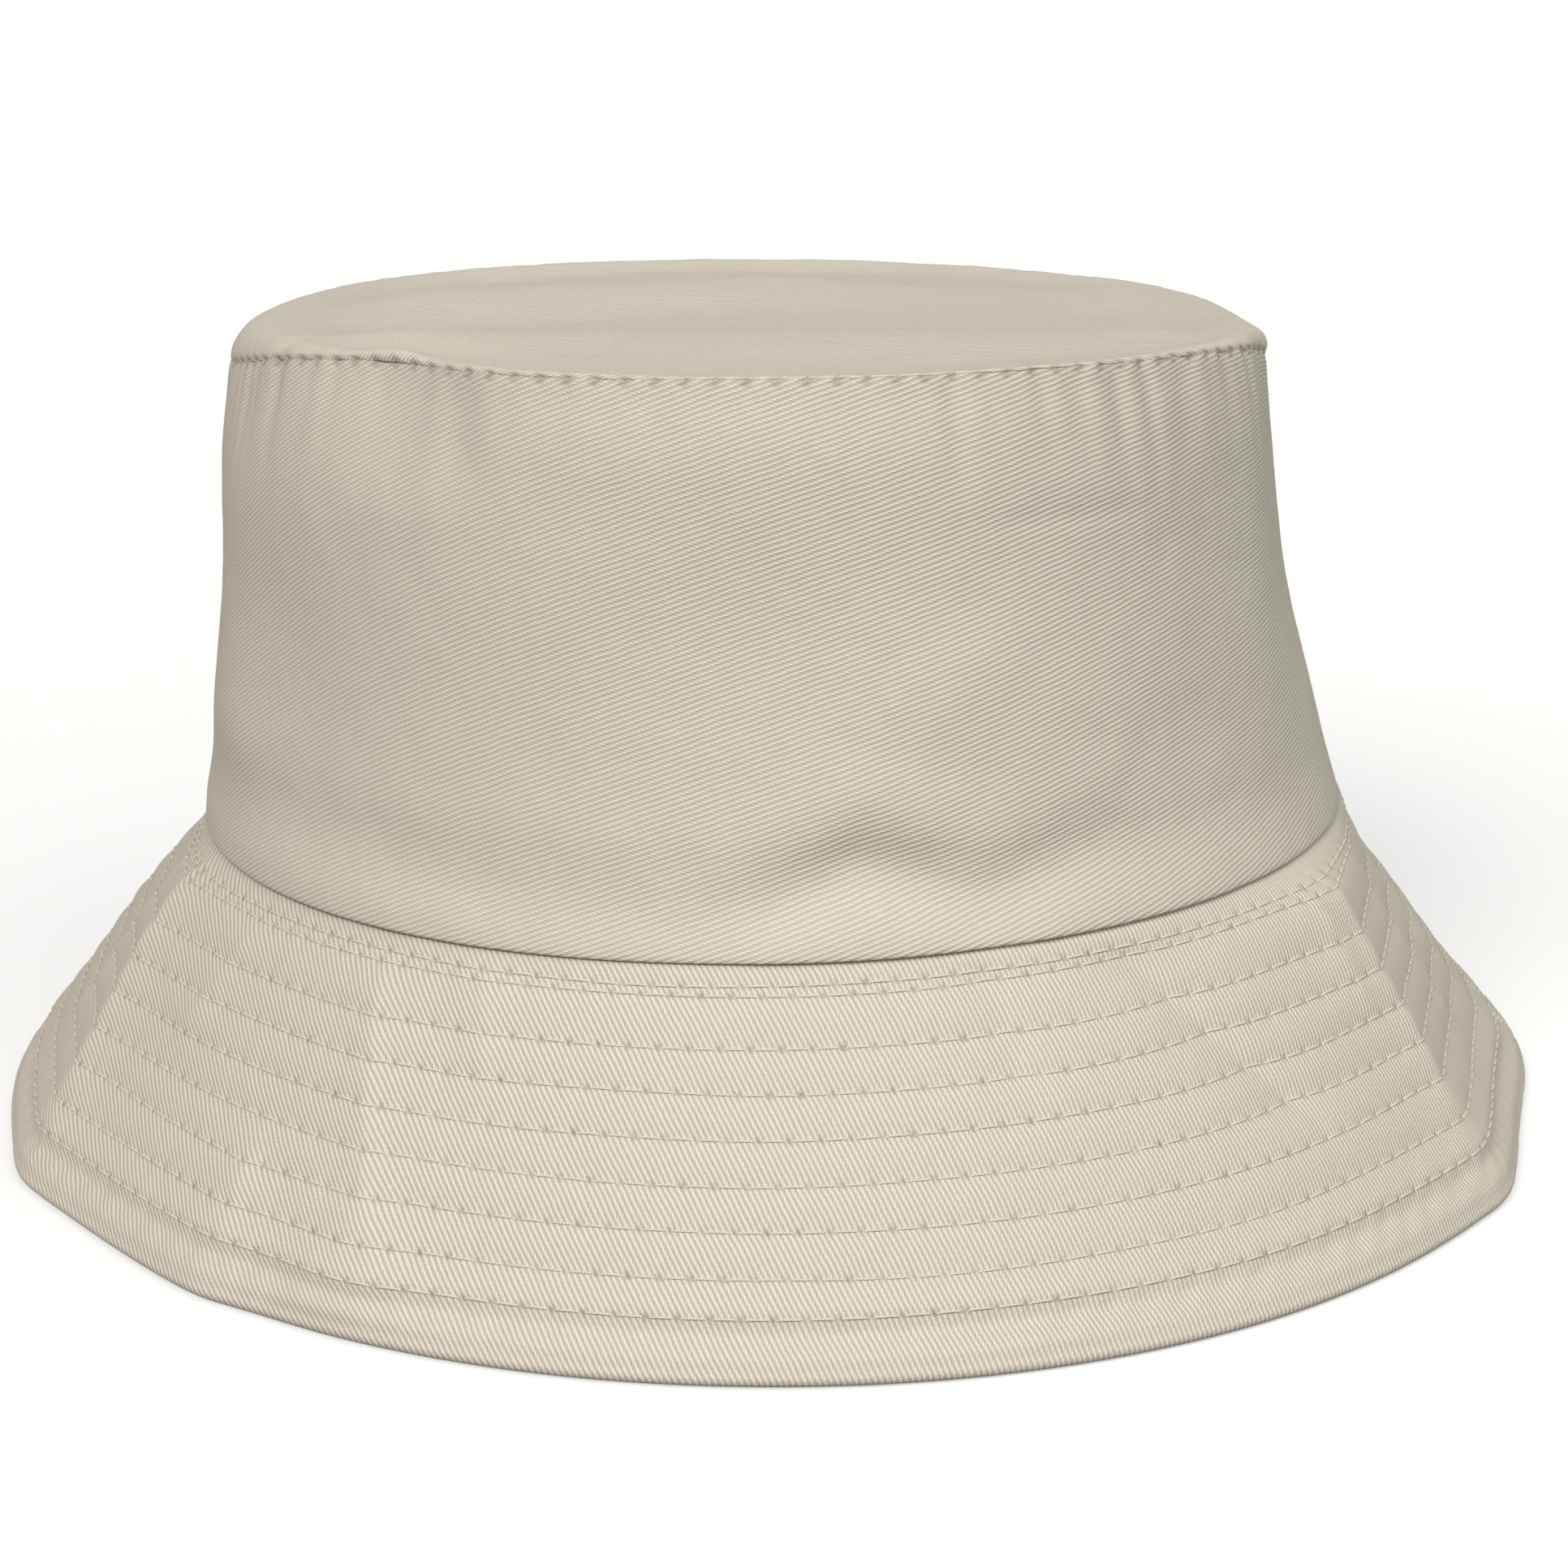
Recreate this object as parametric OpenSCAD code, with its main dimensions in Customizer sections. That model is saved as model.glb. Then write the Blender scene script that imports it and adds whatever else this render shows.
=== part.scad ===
// Bucket hat in cotton twill: an oval crown with a flat top, a sloping quilted brim,
// a cloth lining, a sweatband and a sewn-in blank care label.
// Z is up, the hat stands on its brim edge at z = 0, and its front faces -Y.

/* [Crown] */
// Width of the crown at the brim seam, side to side
base_w = 174; // [164:1:184]
// How far past the middle the arcs of the oval are centred; more makes a longer hat
arc_offset = 14.8302; // [12.474:2.3562:17.1864]
// Width of the crown at its top seam, side to side
top_w = 154; // [146:1:160]
// Height of the crown, from the brim seam to the top seam
crown_h = 73; // [66:1:82]

/* [Brim] */
// Width of the brim, measured down its slope
brim_w = 54.4; // [48:0.2:60]
// Slope of the brim, in degrees below level
brim_slope = 53.3; // [46:0.1:60]
// Distance from the crown to the first row of quilting
first_row = 11.8; // [9:0.1:12]
// Distance between two rows of quilting
row_pitch = 5.95; // [5:0.05:6]
// Distance from the brim's edge to the row of stitches that holds the hem
hem_w = 8; // [6:0.1:8]

/* [Cloth] */
// Thickness of the outer twill
twill_t = 0.7; // [0.5:0.05:0.9]
// Thickness of the lining cloth
lining_t = 0.5; // [0.3:0.05:0.6]
// Thickness of the interlining inside the brim
stiffener_t = 0.6; // [0.4:0.05:0.8]
// Thickness of the sweatband
sweatband_t = 0.9; // [0.6:0.05:1.1]
// Height of the sweatband
sweatband_h = 30; // [25:1:34]
// Thickness of the sewing thread
thread_d = 0.4; // [0.3:0.05:0.45]

/* [Label] */
// Width of the care label
label_w = 24; // [18:1:28]
// Length of the care label, from its sewn edge to its free edge
label_h = 34; // [24:1:36]
// Thickness of the care label
label_t = 0.4; // [0.3:0.05:0.5]

/* [Hidden] */
$fn = 96;

// The outline is a four-centre oval: two flatter arcs at the sides and two rounder arcs
// at the front and back, which meet at 45 degrees. Where the oval is u wide from the middle,
// a side arc's radius is u + arc_offset and an end arc's is u - end_shrink.
end_shrink = (sqrt(2) - 1) * arc_offset;
extra_length = arc_offset - end_shrink;

ply_gap = 0.05;                 // air between two layers of the brim
shell_gap = 0.6;                // air between the outer shell and its lining
band_gap = 0.2;                 // air between the lining and the sweatband
allowance = 6;                  // seam allowance turned in under the crown's top
crown_overhang = 0.4;           // how far the crown stands out over the brim's inner edge
edge_r = 1.1;                   // radius of the rolled brim edge
edge_sunk = 0.2;                // how much of the rolled edge is pressed flat where it rests
clear = 0.1;                    // air between pieces that only touch

brim_t = 2 * twill_t + stiffener_t + 2 * ply_gap;
edge_s = brim_w - edge_r;       // where the middle of the rolled edge lies down the slope
seam_u = base_w / 2 - crown_overhang;
seam_z = edge_r - edge_sunk + edge_s * sin(brim_slope) + brim_t / 2 * cos(brim_slope);
top_z = seam_z + crown_h;

lining_inset = twill_t + shell_gap;
sweatband_inset = lining_inset + lining_t + band_gap;
lining_top_z = top_z - allowance / 4 - twill_t;
sweatband_top_z = seam_z + sweatband_h;

thread_r = thread_d / 2;
topstitch_inner = 3.3;          // first row, just below the crown
topstitch_outer = 4.7;          // second row, close beside it

// The label turns about its upper edge, just above the sweatband at the back. Half its width
// is a chord of the curved wall, so it stands in by that chord's rise.
hinge_z = sweatband_top_z + 1.5;
wall_u = crown_u(hinge_z) - sweatband_inset - sweatband_t;
wall_r = wall_u - end_shrink;
chord_rise = wall_r - sqrt(pow(wall_r, 2) - pow(label_w / 2, 2));
hinge_y = wall_u + extra_length - chord_rise - label_t;
tab_low = hinge_z + 0.6;        // the sewn-down tab starts clear of the turning edge
tab_h = 5;

CREAM = [0.84, 0.80, 0.72];
SHADE = [0.80, 0.76, 0.68];
WHITE = [0.93, 0.93, 0.91];
THREAD = [0.80, 0.75, 0.64];

// Half the crown's outer width at height z.
function crown_u(z) = base_w / 2 - (base_w - top_w) / 2 * (z - seam_z) / crown_h;

// A point of the brim's section: s down the slope from the seam, n out of the upper face.
function on_brim(s, n) = [
    seam_u + s * cos(brim_slope) + n * sin(brim_slope),
    seam_z - s * sin(brim_slope) + n * cos(brim_slope)
];

// Distance of a quilting row from the crown, row 1 nearest to it.
function row_s(i) = first_row + (i - 1) * row_pitch;

// One arc of the oval. The section's x is half the width of the hat there.
module oval_arc(x, y, from, sweep, grow) {
    translate([x, y, 0])
        rotate([0, 0, from])
            rotate_extrude(angle = sweep)
                translate([grow, 0])
                    children();
}

// Carries a section round a quarter of the oval, from +X to +Y.
module oval_quarter() {
    oval_arc(-arc_offset, 0, 0, 45, arc_offset) children();
    oval_arc(0, arc_offset, 90, -45, -end_shrink) children();
}

// Carries a section round the front half, or with turn = 180 the back half.
module oval_half(turn) {
    rotate([0, 0, turn])
        mirror([0, 1, 0])
            for (side = [0, 1])
                mirror([side, 0, 0])
                    oval_quarter() children();
}

// Carries a section round the whole oval.
module oval_ring() {
    for (turn = [0, 180])
        oval_half(turn) children();
}

// A flat oval plate, u half its width.
module oval_plate(u, thick) {
    side_r = u + arc_offset;
    end_r = u - end_shrink;
    joint_y = side_r * sin(45);
    union() {
        intersection() {
            translate([-arc_offset, 0, 0]) cylinder(r = side_r, h = thick);
            translate([arc_offset, 0, 0]) cylinder(r = side_r, h = thick);
            translate([-side_r, -joint_y, 0]) cube([2 * side_r, 2 * joint_y, thick]);
        }
        for (side = [-1, 1])
            translate([0, side * arc_offset, 0]) cylinder(r = end_r, h = thick);
    }
}

// Section of a wall that follows the crown, inset from its outer face.
module wall_section(inset, thick, low, high) {
    polygon([
        [crown_u(low) - inset - thick, low],
        [crown_u(low) - inset, low],
        [crown_u(high) - inset, high],
        [crown_u(high) - inset - thick, high]
    ]);
}

// Section of a brim layer from one slope distance to another, top and bottom given as n.
module brim_section(from, to, high, low) {
    polygon([on_brim(from, low), on_brim(to, low), on_brim(to, high), on_brim(from, high)]);
}

module crown_side(turn) {
    color(CREAM)
        oval_half(turn)
            union() {
                wall_section(0, twill_t, seam_z + clear, top_z);
                translate([crown_u(top_z) - allowance, top_z - twill_t])
                    square([allowance, twill_t]);
            }
}

module crown_tip() {
    color(CREAM)
        translate([0, 0, top_z + ply_gap])
            oval_plate(crown_u(top_z) - thread_d - clear, twill_t);
}

module brim_top(turn) {
    middle = on_brim(edge_s, -brim_t / 2);
    color(CREAM)
        oval_half(turn)
            intersection() {
                union() {
                    brim_section(0, edge_s, 0, -twill_t);
                    translate(middle) circle(r = edge_r);
                }
                square([base_w, base_w]);
            }
}

module brim_stiffener() {
    top = -twill_t - ply_gap;
    color(WHITE)
        oval_ring()
            brim_section(1, edge_s - 2 * edge_r, top, top - stiffener_t);
}

module brim_under(turn) {
    color(SHADE)
        oval_half(turn)
            brim_section(0, edge_s - edge_r - clear, twill_t - brim_t, -brim_t);
}

module lining_side(turn) {
    color(SHADE)
        oval_half(turn)
            wall_section(lining_inset, lining_t, seam_z + clear, lining_top_z);
}

module lining_tip() {
    color(SHADE)
        translate([0, 0, lining_top_z + ply_gap])
            oval_plate(crown_u(lining_top_z) - lining_inset - thread_d - clear, lining_t);
}

module sweatband() {
    color(CREAM)
        oval_ring()
            wall_section(sweatband_inset, sweatband_t, seam_z + clear, sweatband_top_z);
}

// The label hangs from its sewn edge, clear of the sweatband behind it.
module care_label() {
    color(WHITE)
        translate([-label_w / 2, hinge_y - label_t / 2, hinge_z - label_h])
            cube([label_w, label_t, label_h]);
}

module thread_ring(at) {
    color(THREAD)
        oval_ring()
            translate(at) circle(r = thread_r, $fn = 24);
}

module crown_top_seam_thread() {
    thread_ring([crown_u(top_z) - thread_r, top_z + thread_r + ply_gap]);
}

module brim_seam_thread() {
    z = seam_z + 1;
    thread_ring([crown_u(z) - twill_t - shell_gap / 2, z]);
}

// A needle thread on the upper face and a bobbin thread on the lower face.
module brim_thread(s) {
    for (n = [thread_r + ply_gap, -brim_t - thread_r - ply_gap])
        thread_ring(on_brim(s, n));
}

// The seams at the two sides, where the front half meets the back half.
module side_seam_threads() {
    inset = twill_t + shell_gap / 2;
    low = seam_z + 2;
    high = top_z - 2;
    lean = atan((crown_u(low) - crown_u(high)) / (high - low));
    color(THREAD)
        for (side = [0, 180])
            rotate([0, 0, side])
                translate([crown_u(low) - inset, 0, low])
                    rotate([0, -lean, 0])
                        cylinder(r = thread_r, h = (high - low) / cos(lean), $fn = 24);
}

module sweatband_thread() {
    z = seam_z + 3;
    thread_ring([crown_u(z) - sweatband_inset - sweatband_t - thread_r - clear, z]);
}

module lining_seam_thread() {
    u = crown_u(lining_top_z) - lining_inset;
    thread_ring([u - thread_r, lining_top_z + thread_r + ply_gap]);
}

// The end of the label that is sewn flat to the lining.
module label_tab() {
    color(WHITE)
        intersection() {
            oval_half(180)
                wall_section(lining_inset + lining_t + clear, label_t, tab_low, tab_low + tab_h);
            translate([-label_w / 2, 0, 0]) cube([label_w, base_w, top_z]);
        }
}

// The row of stitches through the label's tab.
module label_thread() {
    z = tab_low + tab_h / 2;
    face = lining_inset + lining_t + clear + label_t;
    u = crown_u(z) - face - thread_r - clear;
    half_turn = asin(label_w / 2 / (u - end_shrink));
    color(THREAD)
        for (sweep = [-half_turn, half_turn])
            oval_arc(0, arc_offset, 90, sweep, -end_shrink)
                translate([u, z]) circle(r = thread_r, $fn = 24);
}

crown_tip();
crown_side(0);  // crown_side_front
crown_side(180);  // crown_side_back
brim_top(0);  // brim_top_front
brim_top(180);  // brim_top_back
brim_stiffener();
brim_under(0);  // brim_under_front
brim_under(180);  // brim_under_back
lining_tip();
lining_side(0);  // lining_side_front
lining_side(180);  // lining_side_back
sweatband();
care_label();
label_tab();
crown_top_seam_thread();
brim_seam_thread();
side_seam_threads();
brim_thread(topstitch_inner);  // brim_topstitch_inner
brim_thread(topstitch_outer);  // brim_topstitch_outer
for (i = [1:6])
    brim_thread(row_s(i));
brim_thread(brim_w - hem_w);  // hem_stitching
sweatband_thread();
lining_seam_thread();
label_thread();
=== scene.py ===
import math

import bpy
import numpy as np
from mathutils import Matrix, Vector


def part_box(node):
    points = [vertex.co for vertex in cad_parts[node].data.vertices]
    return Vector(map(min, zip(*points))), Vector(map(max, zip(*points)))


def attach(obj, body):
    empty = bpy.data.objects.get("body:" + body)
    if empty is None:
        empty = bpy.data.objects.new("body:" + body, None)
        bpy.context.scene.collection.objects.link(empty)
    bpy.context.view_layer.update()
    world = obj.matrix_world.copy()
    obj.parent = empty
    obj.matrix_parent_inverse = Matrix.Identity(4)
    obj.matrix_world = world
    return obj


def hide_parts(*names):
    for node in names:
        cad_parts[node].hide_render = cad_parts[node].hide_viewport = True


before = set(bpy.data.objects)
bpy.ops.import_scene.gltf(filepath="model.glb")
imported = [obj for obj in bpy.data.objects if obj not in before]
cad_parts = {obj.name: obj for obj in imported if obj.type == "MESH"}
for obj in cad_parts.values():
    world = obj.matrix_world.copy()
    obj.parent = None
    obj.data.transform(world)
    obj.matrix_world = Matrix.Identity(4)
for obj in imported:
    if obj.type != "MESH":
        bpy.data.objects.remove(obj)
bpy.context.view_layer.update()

# A bucket hat in cream cotton twill. Every cloth panel is a closed sheet swept round the oval
# of the hat, and every row of sewing is made of single stitches. Lengths are in millimetres
# until a mesh is made. A turn is an azimuth in radians: 0 at the front, positive towards +X.
MM = 0.001


# ---- sizes, read from the CAD model

def node_box(node):
    """Lowest and highest corner of a CAD node, in millimetres."""
    low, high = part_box(node)
    return np.array(low) / MM, np.array(high) / MM


THREAD_R = 0.2  # radius of the CAD model's threads
STITCH_R = 0.85 * THREAD_R  # a real stitch is pulled thinner
STITCH = 3.95  # length of a stitch and the gap after it
ALLOWANCE = 6.0  # seam allowance of a cut panel
OVERHANG = 0.4  # the crown stands out this far over the brim's inner edge
TWILL_T, LINING_T, FELT_T, BAND_T = 0.7, 0.5, 0.6, 0.9
PLY_GAP = 0.05  # air between two layers of the brim
BRIM_T = 2 * TWILL_T + FELT_T + 2 * PLY_GAP
EDGE_R = 1.1  # radius of the rolled brim edge
LINING_IN = TWILL_T + 0.6  # the lining's distance inside the crown's outer face
BAND_IN = LINING_IN + LINING_T + 0.2

crown_low, crown_high = node_box("crown_side_front")
brim_high = node_box("brim_top_front")[1]
BASE_U = crown_high[0]
TOP_Z = crown_high[2]
EXTRA = -crown_low[1] - crown_high[0]
TOP_U = node_box("crown_top_seam_thread")[1][0]
SEAM_U = BASE_U - OVERHANG
SEAM_Z = brim_high[2]
CROWN_H = TOP_Z - SEAM_Z

row_1, row_6 = node_box("quilting_row_1")[1], node_box("quilting_row_6")[1]
SLOPE = math.atan2(row_1[2] - row_6[2], row_6[0] - row_1[0])
COS, SIN = math.cos(SLOPE), math.sin(SLOPE)
EDGE_S = (brim_high[0] - EDGE_R + BRIM_T / 2 * SIN - SEAM_U) / COS


def row_distance(node):
    """How far down the brim's slope a row of stitches lies."""
    high = node_box(node)[1] - THREAD_R
    return (high[0] - SEAM_U) * COS + (SEAM_Z - high[2]) * SIN


TOPSTITCH = ["brim_topstitch_inner", "brim_topstitch_outer"]
QUILTING = [f"quilting_row_{i}" for i in range(1, 7)]
BRIM_ROWS = {node: row_distance(node) for node in TOPSTITCH + QUILTING + ["hem_stitching"]}
HEM_S = BRIM_ROWS["hem_stitching"]
BRIM_MIDDLE = 27.0  # halfway down the brim, where its points are spaced evenly


def brim_u(s):
    """Half the brim's width, s down its slope from the seam."""
    return SEAM_U + s * COS


def middle_z(node):
    """Height of the middle of a CAD node."""
    low, high = node_box(node)
    return (low[2] + high[2]) / 2


# ---- the oval and its noise

ARC_POINTS = 3000  # points along the oval that turns are looked up between
NOISE_ROWS = 97  # the noise repeats after so many units along
FLAT_CELLS = 96  # and over a flat sheet after so many cells across


def outline(turn, u):
    """Point of the oval whose half width is u."""
    return u * np.sin(turn), -(u + EXTRA) * np.cos(turn)


def arc(turn, u):
    """Length of the oval from its front to a turn."""
    return u * turn + EXTRA * (turn / 2 - np.sin(2 * turn) / 4)


def even_turns(low, high, u, step):
    """Turns from low to high, evenly spaced along the oval, about step millimetres apart."""
    fine = np.linspace(low, high, ARC_POINTS)
    along = arc(fine, u)
    count = max(2, round((along[-1] - along[0]) / step))
    return np.interp(np.linspace(along[0], along[-1], count + 1), along, fine)


def wrapped(turn):
    """The same turn between -pi and pi."""
    return (turn + math.pi) % (2 * math.pi) - math.pi


def bell(x, width):
    return np.exp(-(x / width) ** 2)


def smooth(x, low, high):
    """0 below low, 1 above high and a smooth rise between."""
    t = np.clip((x - low) / (high - low), 0, 1)
    return t * t * (3 - 2 * t)


def rounded_line(points, x, shifts):
    """Height at x of the line through points, with its corners rounded over the shifts."""
    return sum(np.interp(x + shift, *zip(*points)) for shift in shifts) / len(shifts)


def noise(seed, cells, turn, along):
    """Smooth noise from -1 to 1, with so many cells round the hat and 1 unit along each."""
    grid = np.random.default_rng(seed).uniform(-1, 1, (cells, NOISE_ROWS))
    x = turn / (2 * math.pi) * cells
    x, y = np.broadcast_arrays(x, along)
    i, j = np.floor(x).astype(int), np.floor(y).astype(int)
    fx, fy = x - i, y - j
    fx, fy = fx * fx * (3 - 2 * fx), fy * fy * (3 - 2 * fy)

    def at(di, dj):
        return grid[(i + di) % cells, (j + dj) % NOISE_ROWS]

    low = at(0, 0) * (1 - fx) + at(1, 0) * fx
    high = at(0, 1) * (1 - fx) + at(1, 1) * fx
    return low * (1 - fy) + high * fy


def flat_noise(seed, cell, x, y):
    """The same noise over a flat sheet, with cells of this many millimetres."""
    return noise(seed, FLAT_CELLS, x / cell * 2 * math.pi / FLAT_CELLS, y / cell)


# ---- rings of stitches

def ring_count(u):
    """Stitches in a ring round the oval of half width u, an even number."""
    return 2 * round(arc(2 * math.pi, u) / STITCH / 2)


def from_hole(turn, u, shift=0.0):
    """Distance along a ring from its nearest needle hole. The ring is shifted by so many stitches."""
    pitch = arc(2 * math.pi, u) / ring_count(u)
    along = arc(turn, u) / pitch + shift
    return (along - np.round(along)) * pitch


def ring_turn(at, u, shift=0.0):
    """Turn of a place along a ring, which is counted in stitches."""
    fine = np.linspace(-2 * math.pi, 4 * math.pi, 4 * ARC_POINTS)
    along = arc(fine, u) / arc(2 * math.pi, u) * ring_count(u) + shift
    return np.interp(at, along, fine)


# ---- how the brim is bent

SEAM_TILT = 1.7  # the brim seam is this much higher at the right
ROW_SHIFT = 0.37  # each row's stitches are shifted by so many from the last row's
EDGE_SHAPE = [  # turn in degrees and how far the brim's edge stands out there
    (-180, 0), (-121, 0.4), (-90, 0.4), (-78, -0.6), (-64, -2.7), (-50, -1), (-30, 0), (0, 0),
    (36, 0.4), (48, -0.2), (59, -2.8), (74, -3.3), (86, 0), (96, 1), (107, 0.6), (119, 0.6),
    (150, -0.6), (180, 0),
]
# Turn in degrees at the crown and at the edge, from s, to s, height, reach to the left and right.
CREASES = [
    (58.5, 59, -4, 62, 4.2, 13, 16),
    (-68, -63, -4, 62, 4.5, 16, 13),
    (-36, -25, 2, 54, 1.5, 12, 4.5),
    (-41, -39, 30, 64, 1.2, 9, 3),
    (-29.5, -29, 34, 56, 0.6, 4.5, 2.5),
    (-52, -56, 2, 28, 0.6, 5, 5),
    (-25.5, -17, -3, 22, 0.6, 5, 3),
    (29.5, 51.5, 0, 36, -1.7, 8, 6),
    (17.5, 22.5, -3, 24, -0.7, 4, 3),
    (55, 54, -4, 26, 0.7, 6, 4),
    (70, 73, -4, 40, 0.35, 4, 3),
    (79, 84, -2, 52, 0.35, 4, 4),
    (-74, -77, -4, 40, 0.50, 2.6, 2.6),
    (-88, -90, -2, 52, 0.50, 3.5, 3),
    (118, 121, 0, 60, 0.9, 8, 8),
    (-121, -119, 0, 60, 0.9, 8, 8),
    (158, 163, 4, 40, 0.5, 9, 5),
    (-149, -156, 6, 60, 0.5, 5, 9),
]


def brim_bend(turn, s):
    """Outward offset of all the brim's layers: its flattened sides and its creases."""
    here = np.degrees(wrapped(turn))
    down = np.clip(s / EDGE_S, 0, 1)
    bend = rounded_line(EDGE_SHAPE, here, (-4, 0, 4)) * down ** 1.3
    left_dip = 1.2 * bell(here + 92, 30) * bell(s - 6, 6) * smooth(s, 0, 5)
    right_dips = 2.9 * bell(s - 13, 13) * smooth(s, 0, 6) + 2.5 * bell(s - 36, 14)
    bend = bend - left_dip - bell(here - 92, 30) * right_dips
    around = brim_u(s) + EXTRA / 2
    for top, bottom, low, high, height, left, right in CREASES:
        line = np.radians(top + (bottom - top) * s / EDGE_S)
        away = wrapped(turn - line) * around
        held = smooth(s, low, low + 8) * (1 - smooth(s, high - 8, high)) * smooth(s, -1, 6)
        crest_r = 0.6 + 8 * smooth(s, EDGE_S - 20, EDGE_S)
        rounded = np.sqrt(away ** 2 + crest_r ** 2) - crest_r
        bend = bend + height * held * np.exp(-rounded / np.where(away < 0, left, right))
    return bend + 0.35 * noise(11, 9, turn, s / 40) * smooth(s, 0, 12)


def brim_point(turn, s, n):
    """Point of the brim: s down its slope, n out of its upper face."""
    out = brim_u(s) + n * SIN + brim_bend(turn, s)
    x, y = outline(turn, out)
    tilt = SEAM_TILT * np.sin(turn) * (1 - s / EDGE_S)
    z = SEAM_Z - s * SIN + n * COS + tilt
    return np.stack(np.broadcast_arrays(x, y, np.maximum(z, 0)), -1)


def row_line(turn, s, number):
    """The row's real place: the sewing wanders a little."""
    return s + 0.16 * noise(40 + number, 31, turn, number * 3.3)


def needle_holes(turn, s):
    """1 in the holes of the brim's rows, 0 away from them. It dents the cloth and paints shade into the
    holes.
    """
    holes = 0
    for number, row in enumerate(BRIM_ROWS.values()):
        away = s - row_line(turn, row, number)
        deep = 0.62 + 0.38 * noise(60 + number, 139, turn, 0.5)
        near = from_hole(turn, brim_u(row), ROW_SHIFT * number)
        holes = np.maximum(holes, deep * bell(np.hypot(near, 1.15 * away), 0.45))
    return holes


def quilt_relief(turn, s):
    """Height of the cloth over the brim: low in the sewn rows and full between them."""
    rows = [0.0] + [row_line(turn, row, i) for i, row in enumerate(BRIM_ROWS.values())]
    rows.append(EDGE_S + 1.5 + 0 * turn)
    relief = 0
    sides = 1 + 0.15 * np.sin(turn) ** 6
    for low, high in zip(rows[:-2], rows[1:-1]):
        width = high - low
        share = np.clip((s - low) / width, 0, 1)
        full = np.clip(0.05 * width, 0.07, 0.34) * sides
        relief = relief + full * np.sin(np.pi * share) ** 0.75
    hem = s - rows[-2]
    lively = 1 + 0.4 * noise(23, 23, turn, 0.4)
    puff = 0.25 * bell(hem + 0.6, 1.6) - 0.42 * bell(hem - 1.9, 1.3) + 0.46 * bell(hem - 6.4, 2.6)
    return relief + lively * puff


def hem_puckers(turn, s):
    """Slanting puckers that the hem's stitches pull into the cloth on both sides of the row."""
    along = arc(turn, brim_u(s))
    wave = np.sin(2 * np.pi * (along / 6.1 + s / 9 + 0.7 * noise(21, 43, turn, 0.5)))
    lively = 0.6 + 0.4 * noise(22, 17, turn, 1.5)
    return 0.13 * wave * lively * (bell(s - HEM_S - 2.6, 2.4) + 0.35 * bell(s - HEM_S + 1.6, 1.4))


def row_pulls(turn, s):
    """Small tucks that each stitch pulls into the cloth beside its row."""
    pull = 0
    for number, row in enumerate(BRIM_ROWS.values()):
        away = s - row_line(turn, row, number)
        near = from_hole(turn, brim_u(row), ROW_SHIFT * number)
        pull = pull - 0.05 * bell(near - 0.25 * away, 0.7) * bell(away, 1.6)
    return pull


def side_valley(turn, depth, width, u):
    """The low line that a seam at either side makes."""
    side = np.minimum(np.abs(wrapped(turn - math.pi / 2)), np.abs(wrapped(turn + math.pi / 2)))
    return -depth * bell(side * u, width)


def brim_top_relief(turn, s):
    """Height of the brim's upper cloth over its plain section, without its needle holes."""
    fade = 1 - smooth(s, EDGE_S - 2.5, EDGE_S)
    broad = 0.10 * noise(12, 60, turn, s / 7) + 0.05 * noise(13, 150, turn, s / 3)
    start = -0.25 * bell(s, 0.9)
    sewn = quilt_relief(turn, s) + hem_puckers(turn, s) + row_pulls(turn, s)
    return (sewn + broad * smooth(s, 0, 3) + start) * fade + side_valley(turn, 0.55, 0.9, brim_u(s))


def brim_under_relief(turn, s):
    """How far the brim's lower cloth stands down from its plain section."""
    fade = 1 - smooth(s, EDGE_S - 3.5, EDGE_S - 1)
    return 0.8 * (quilt_relief(turn, s) + row_pulls(turn, s) + 0.06 * noise(14, 90, turn, s / 5)) * fade


# ---- how the crown is bent

LEAN = 3.2  # the crown leans to the left by this much at its top
LEFT_DROOP, RIGHT_DROOP = 6.6, 4.2  # how far the tip's seam hangs down at the sides
DENTS = [  # turn in degrees, height over the seam, half width, half height, depth
    (-38.5, 71, 7, 13, 1.7),
    (-44, 75, 16, 24, 2.8),
    (-30, 65, 2.6, 7, 0.8),
    (-38, 55, 8, 6, -0.5),
    (20, 69, 1.5, 8, 0.55),
    (29.5, 70, 1.2, 6, 0.30),
    (34, 70, 1.3, 7, 0.40),
    (39, 69, 1.4, 8, 0.50),
    (43.5, 69, 1.3, 9, 0.50),
    (48.5, 69, 1.5, 9, 0.50),
    (-59, 66, 1.8, 7, 0.50),
    (-66, 64, 1.8, 6, 0.40),
    (-53, 57, 9, 16, -1.3),
    (63, 57, 8, 22, -1.1),
    (73, 12, 7, 14, -0.5),
    (-24, 46, 14, 12, -0.6),
    (-58, 32, 14, 16, 0.7),
    (31, 54, 9, 1.4, 0.12),
    (31, 58.5, 12, 3.5, -0.15),
    (17, 33, 9, 9, -0.7),
    (-2, 40, 12, 12, 0.6),
    (42, 22, 10, 9, 0.6),
    (74, 52, 8, 22, 0.90),
    (-80, 24, 9, 16, 0.60),
    (128, 40, 16, 14, 0.9),
    (-135, 46, 14, 16, 1),
    (-112, 26, 12, 12, -0.7),
    (165, 22, 15, 9, 0.8),
]
# The long fold across the front: turn in degrees and height over the seam.
FOLD = [
    (-60, 8), (-30, 6), (-14, 4.4), (-6, 3.9), (1, 6.4), (6, 11), (10.5, 11.3), (15, 7.8),
    (19, 5.4), (24, 8.2), (31, 11.4), (62, 8),
]


def seam_height(turn):
    """Height of the brim seam."""
    return SEAM_Z + SEAM_TILT * np.sin(turn)


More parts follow.
